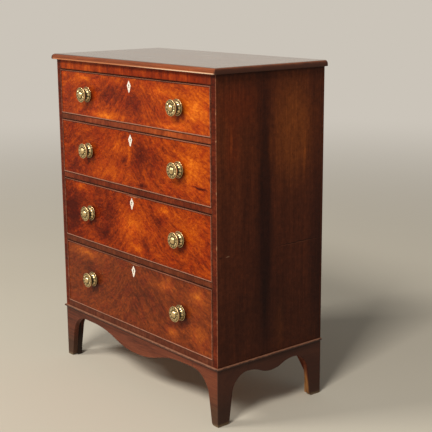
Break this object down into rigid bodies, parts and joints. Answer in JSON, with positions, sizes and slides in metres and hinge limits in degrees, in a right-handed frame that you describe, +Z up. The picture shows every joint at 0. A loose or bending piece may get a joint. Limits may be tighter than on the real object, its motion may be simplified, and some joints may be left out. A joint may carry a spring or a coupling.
{
  "type": "chest of drawers",
  "caption": "Upright wooden chest with graduated cockbeaded long drawers, round brass knobs, kite escutcheons, a moulded top and shaped bracket feet; the drawers slide and lock.",
  "frame": {"origin": "on the floor, under the middle of the box round the whole chest with its knobs", "axes": "+X to the right seen from the front, the front faces -Y, +Z up"},
  "size_m": [0.866, 0.456, 1.064],
  "materials": {
    "mahogany": "waxed, worn at the edges",
    "flame_mahogany": "french polished veneer",
    "oak": "bare, aged",
    "pine": "bare, aged",
    "brass": "aged, patinated",
    "iron": "dark, aged",
    "bone": "polished bone"
  },
  "bodies": {
    "carcase": {"top_board": "mahogany", "left_side": "mahogany", "right_side": "mahogany", "frieze_rail": "mahogany", "divider_rail_1": "mahogany", "divider_rail_2": "mahogany", "divider_rail_3": "mahogany", "base_rail": "mahogany", "bottom_board": "pine", "back_boards": "pine", "drawer_runners": "pine", "drawer_stops": "pine", "base_bead": "mahogany", "front_apron": "mahogany", "side_aprons": "mahogany", "front_left_foot": "mahogany", "front_right_foot": "mahogany", "back_left_foot": "mahogany", "back_right_foot": "mahogany", "foot_blocks": "pine"},
    "drawer_1": {"drawer_1_front": "flame_mahogany", "drawer_1_cockbead": "mahogany", "drawer_1_left_side": "oak", "drawer_1_right_side": "oak", "drawer_1_back": "oak", "drawer_1_bottom": "oak", "drawer_1_escutcheon": "bone", "drawer_1_lock": "iron", "drawer_1_knobs": "brass"},
    "lock_bolt_1": {"drawer_1_lock_bolt": "iron"},
    "drawer_2": {"drawer_2_front": "flame_mahogany", "drawer_2_cockbead": "mahogany", "drawer_2_left_side": "oak", "drawer_2_right_side": "oak", "drawer_2_back": "oak", "drawer_2_bottom": "oak", "drawer_2_escutcheon": "bone", "drawer_2_lock": "iron", "drawer_2_knobs": "brass"},
    "lock_bolt_2": {"drawer_2_lock_bolt": "iron"},
    "drawer_3": {"drawer_3_front": "flame_mahogany", "drawer_3_cockbead": "mahogany", "drawer_3_left_side": "oak", "drawer_3_right_side": "oak", "drawer_3_back": "oak", "drawer_3_bottom": "oak", "drawer_3_escutcheon": "bone", "drawer_3_lock": "iron", "drawer_3_knobs": "brass"},
    "lock_bolt_3": {"drawer_3_lock_bolt": "iron"},
    "drawer_4": {"drawer_4_front": "flame_mahogany", "drawer_4_cockbead": "mahogany", "drawer_4_left_side": "oak", "drawer_4_right_side": "oak", "drawer_4_back": "oak", "drawer_4_bottom": "oak", "drawer_4_escutcheon": "bone", "drawer_4_lock": "iron", "drawer_4_knobs": "brass"},
    "lock_bolt_4": {"drawer_4_lock_bolt": "iron"}
  },
  "joints": [
    {"name": "drawer_1_slide", "type": "slide", "parent": "carcase", "child": "drawer_1", "axis": [0, -1, 0], "range_m": [0, 0.3]},
    {"name": "lock_bolt_1_slide", "type": "slide", "parent": "drawer_1", "child": "lock_bolt_1", "axis": [0, 0, 1], "range_m": [0, 0.008]},
    {"name": "drawer_2_slide", "type": "slide", "parent": "carcase", "child": "drawer_2", "axis": [0, -1, 0], "range_m": [0, 0.3]},
    {"name": "lock_bolt_2_slide", "type": "slide", "parent": "drawer_2", "child": "lock_bolt_2", "axis": [0, 0, 1], "range_m": [0, 0.008]},
    {"name": "drawer_3_slide", "type": "slide", "parent": "carcase", "child": "drawer_3", "axis": [0, -1, 0], "range_m": [0, 0.3]},
    {"name": "lock_bolt_3_slide", "type": "slide", "parent": "drawer_3", "child": "lock_bolt_3", "axis": [0, 0, 1], "range_m": [0, 0.008]},
    {"name": "drawer_4_slide", "type": "slide", "parent": "carcase", "child": "drawer_4", "axis": [0, -1, 0], "range_m": [0, 0.3]},
    {"name": "lock_bolt_4_slide", "type": "slide", "parent": "drawer_4", "child": "lock_bolt_4", "axis": [0, 0, 1], "range_m": [0, 0.008]}
  ]
}
